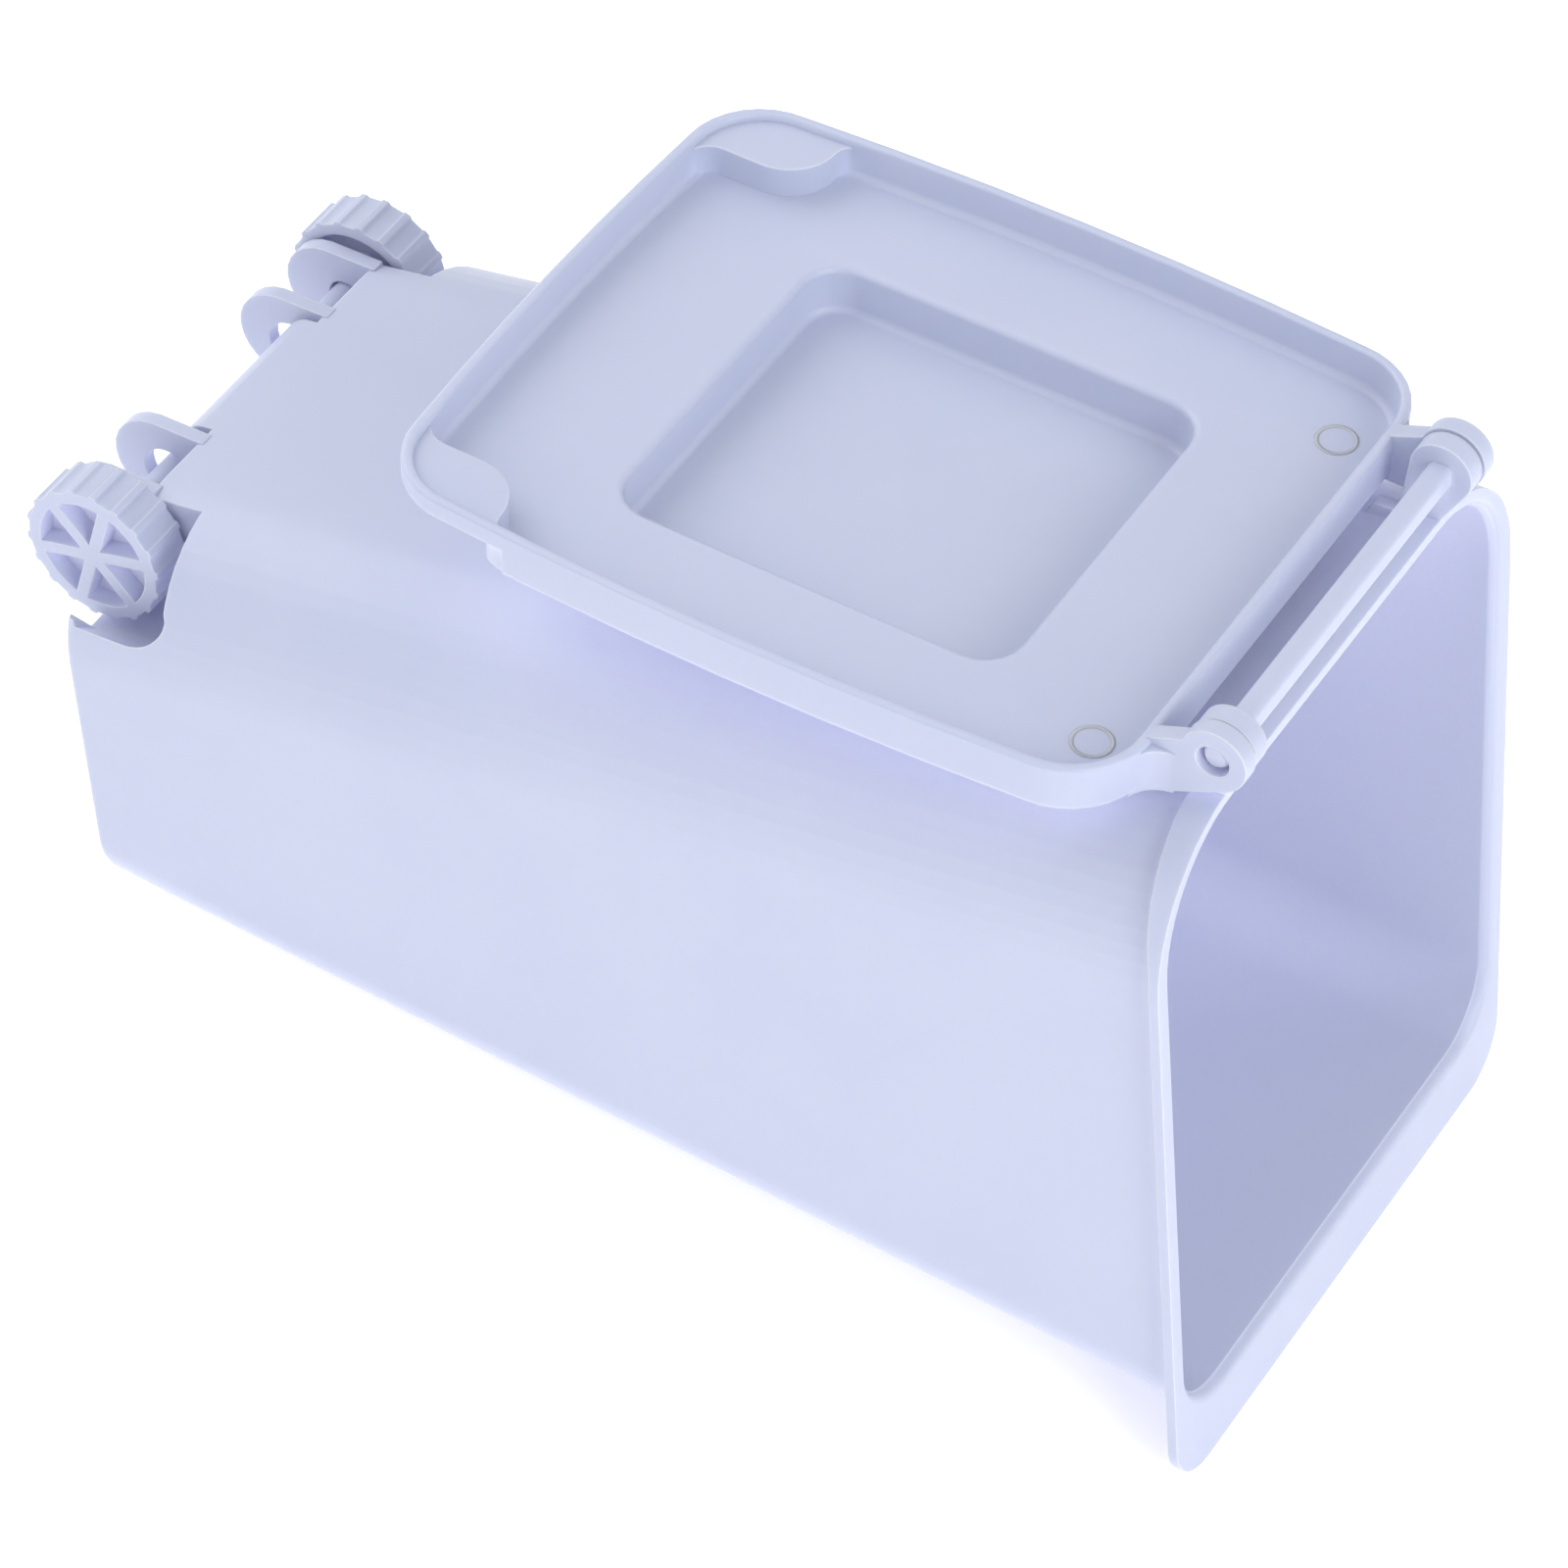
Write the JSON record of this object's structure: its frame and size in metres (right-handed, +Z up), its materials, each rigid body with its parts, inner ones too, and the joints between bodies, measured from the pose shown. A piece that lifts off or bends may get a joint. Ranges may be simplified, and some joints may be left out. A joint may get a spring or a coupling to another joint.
{
  "type": "miniature wheeled bin",
  "caption": "Small tapered plastic wheeled bin lying on its front, with a hinged dished lid folded back and spoked wheels on stub axles.",
  "frame": {"origin": "centre of the bounding box, on the floor the bin lies on", "axes": "+X from the base towards the open mouth, +Y along the hinge and the axles, +Z up (the bin's back wall is on top)"},
  "size_m": [0.1626, 0.0804, 0.1038],
  "materials": {
    "tub_plastic": "pale lavender-blue moulded plastic, satin",
    "lid_plastic": "pale lavender-blue moulded plastic, satin",
    "wheel_left_plastic": "pale lavender-blue moulded plastic, satin",
    "wheel_right_plastic": "pale lavender-blue moulded plastic, satin"
  },
  "bodies": {
    "tub": {"bin_tub": "tub_plastic"},
    "lid": {"lid": "lid_plastic"},
    "left_wheel": {"wheel_left": "wheel_left_plastic"},
    "right_wheel": {"wheel_right": "wheel_right_plastic"}
  },
  "joints": [
    {"name": "lid_hinge", "type": "hinge", "parent": "tub", "child": "lid", "pos_m": [0.06224, 0, 0.09992], "axis": [0, 1, 0], "range_deg": [0, 264.5]},
    {"name": "left_wheel_spin", "type": "hinge", "parent": "tub", "child": "left_wheel", "pos_m": [-0.07231, 0.027, 0.04642], "axis": [0, 1, 0], "continuous": true},
    {"name": "right_wheel_spin", "type": "hinge", "parent": "tub", "child": "right_wheel", "pos_m": [-0.07231, -0.027, 0.04642], "axis": [0, 1, 0], "continuous": true}
  ]
}
